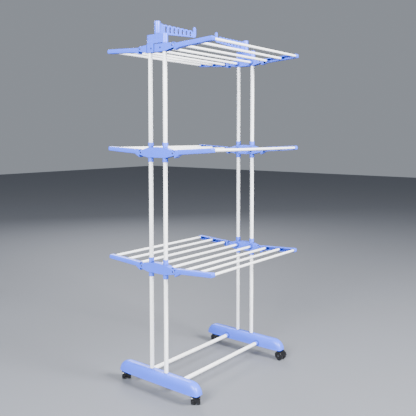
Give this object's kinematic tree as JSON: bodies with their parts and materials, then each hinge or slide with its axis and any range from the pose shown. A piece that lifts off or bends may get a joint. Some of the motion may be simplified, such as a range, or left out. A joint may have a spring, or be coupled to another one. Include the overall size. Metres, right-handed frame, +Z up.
{
  "type": "clothes drying rack",
  "caption": "Free-standing tiered clothes drying rack on swivel casters, with fold-up wings of rails and swivelling slotted hanger arms on top.",
  "frame": {"origin": "on the floor, under the middle of the rack", "axes": "+X along the drying rails, +Y towards the back wings, +Z up"},
  "size_m": [0.7495, 0.6432, 1.7155],
  "materials": {
    "blue_plastic": "smooth moulded, pale cornflower blue",
    "white_tube": "white powder coat",
    "white_rail": "white powder coat",
    "black_plastic": "polished black",
    "wheel_black": "polished black",
    "steel": "zinc plated"
  },
  "bodies": {
    "root": {"foot_left": "blue_plastic", "foot_right": "blue_plastic", "base_bar_front": "white_tube", "base_bar_back": "white_tube", "uprights_lower_left": "white_tube", "uprights_middle_left": "white_tube", "uprights_upper_left": "white_tube", "hub_lower_left": "blue_plastic", "hub_middle_left": "blue_plastic", "hub_upper_left": "blue_plastic", "cap_left": "blue_plastic", "uprights_lower_right": "white_tube", "uprights_middle_right": "white_tube", "uprights_upper_right": "white_tube", "hub_lower_right": "blue_plastic", "hub_middle_right": "blue_plastic", "hub_upper_right": "blue_plastic", "cap_right": "blue_plastic", "centre_rails_lower": "white_rail", "centre_rails_middle": "white_rail", "centre_rails_upper": "white_rail", "hinge_pins": "steel", "cap_screws": "steel", "hanger_bolts": "steel", "caster_stems": "steel"},
    "wing_lower_front": {"arm_lower_front_left": "blue_plastic", "arm_lower_front_right": "blue_plastic", "rails_lower_front": "white_rail"},
    "wing_lower_back": {"arm_lower_back_left": "blue_plastic", "arm_lower_back_right": "blue_plastic", "rails_lower_back": "white_rail"},
    "wing_middle_front": {"arm_middle_front_left": "blue_plastic", "arm_middle_front_right": "blue_plastic", "rails_middle_front": "white_rail"},
    "wing_middle_back": {"arm_middle_back_left": "blue_plastic", "arm_middle_back_right": "blue_plastic", "rails_middle_back": "white_rail"},
    "wing_upper_front": {"arm_upper_front_left": "blue_plastic", "arm_upper_front_right": "blue_plastic", "rails_upper_front": "white_rail"},
    "wing_upper_back": {"arm_upper_back_left": "blue_plastic", "arm_upper_back_right": "blue_plastic", "rails_upper_back": "white_rail"},
    "hanger_left": {"hanger_arm_left": "blue_plastic"},
    "hanger_right": {"hanger_arm_right": "blue_plastic"},
    "caster_left_front": {"caster_hood_left_front": "black_plastic"},
    "wheels_left_front": {"caster_wheels_left_front": "wheel_black", "caster_axle_left_front": "steel"},
    "caster_left_back": {"caster_hood_left_back": "black_plastic"},
    "wheels_left_back": {"caster_wheels_left_back": "wheel_black", "caster_axle_left_back": "steel"},
    "caster_right_front": {"caster_hood_right_front": "black_plastic"},
    "wheels_right_front": {"caster_wheels_right_front": "wheel_black", "caster_axle_right_front": "steel"},
    "caster_right_back": {"caster_hood_right_back": "black_plastic"},
    "wheels_right_back": {"caster_wheels_right_back": "wheel_black", "caster_axle_right_back": "steel"}
  },
  "joints": [
    {"name": "wing_lower_front_fold", "type": "hinge", "parent": "root", "child": "wing_lower_front", "pos_m": [0, -0.099, 0.5825], "axis": [-1, 0, 0], "range_deg": [0, 86.5]},
    {"name": "wing_lower_back_fold", "type": "hinge", "parent": "root", "child": "wing_lower_back", "pos_m": [0, 0.099, 0.5825], "axis": [1, 0, 0], "range_deg": [0, 86.5]},
    {"name": "wing_middle_front_fold", "type": "hinge", "parent": "root", "child": "wing_middle_front", "pos_m": [0, -0.099, 1.1135], "axis": [-1, 0, 0], "range_deg": [0, 86.5]},
    {"name": "wing_middle_back_fold", "type": "hinge", "parent": "root", "child": "wing_middle_back", "pos_m": [0, 0.099, 1.1135], "axis": [1, 0, 0], "range_deg": [0, 86.5]},
    {"name": "wing_upper_front_fold", "type": "hinge", "parent": "root", "child": "wing_upper_front", "pos_m": [0, -0.099, 1.587], "axis": [-1, 0, 0], "range_deg": [0, 86.5]},
    {"name": "wing_upper_back_fold", "type": "hinge", "parent": "root", "child": "wing_upper_back", "pos_m": [0, 0.099, 1.587], "axis": [1, 0, 0], "range_deg": [0, 86.5]},
    {"name": "hanger_left_swivel", "type": "hinge", "parent": "root", "child": "hanger_left", "pos_m": [-0.3445, 0, 1.6745], "axis": [0, 0, 1], "continuous": true},
    {"name": "hanger_right_swivel", "type": "hinge", "parent": "root", "child": "hanger_right", "pos_m": [0.3445, 0, 1.6745], "axis": [0, 0, 1], "continuous": true},
    {"name": "caster_left_front_swivel", "type": "hinge", "parent": "root", "child": "caster_left_front", "pos_m": [-0.3445, -0.22, 0.04], "axis": [0, 0, 1], "continuous": true},
    {"name": "wheels_left_front_roll", "type": "hinge", "parent": "caster_left_front", "child": "wheels_left_front", "pos_m": [-0.33207, -0.20993, 0.0225], "axis": [-0.6293, 0.7771, 0], "continuous": true},
    {"name": "caster_left_back_swivel", "type": "hinge", "parent": "root", "child": "caster_left_back", "pos_m": [-0.3445, 0.22, 0.04], "axis": [0, 0, 1], "continuous": true},
    {"name": "wheels_left_back_roll", "type": "hinge", "parent": "caster_left_back", "child": "wheels_left_back", "pos_m": [-0.33319, 0.23131, 0.0225], "axis": [-0.7071, 0.7071, 0], "continuous": true},
    {"name": "caster_right_front_swivel", "type": "hinge", "parent": "root", "child": "caster_right_front", "pos_m": [0.3445, -0.22, 0.04], "axis": [0, 0, 1], "continuous": true},
    {"name": "wheels_right_front_roll", "type": "hinge", "parent": "caster_right_front", "child": "wheels_right_front", "pos_m": [0.34311, -0.23594, 0.0225], "axis": [0.9962, -0.0872, 0], "continuous": true},
    {"name": "caster_right_back_swivel", "type": "hinge", "parent": "root", "child": "caster_right_back", "pos_m": [0.3445, 0.22, 0.04], "axis": [0, 0, 1], "continuous": true},
    {"name": "wheels_right_back_roll", "type": "hinge", "parent": "caster_right_back", "child": "wheels_right_back", "pos_m": [0.34864, 0.20455, 0.0225], "axis": [0.9659, 0.2588, 0], "continuous": true}
  ]
}
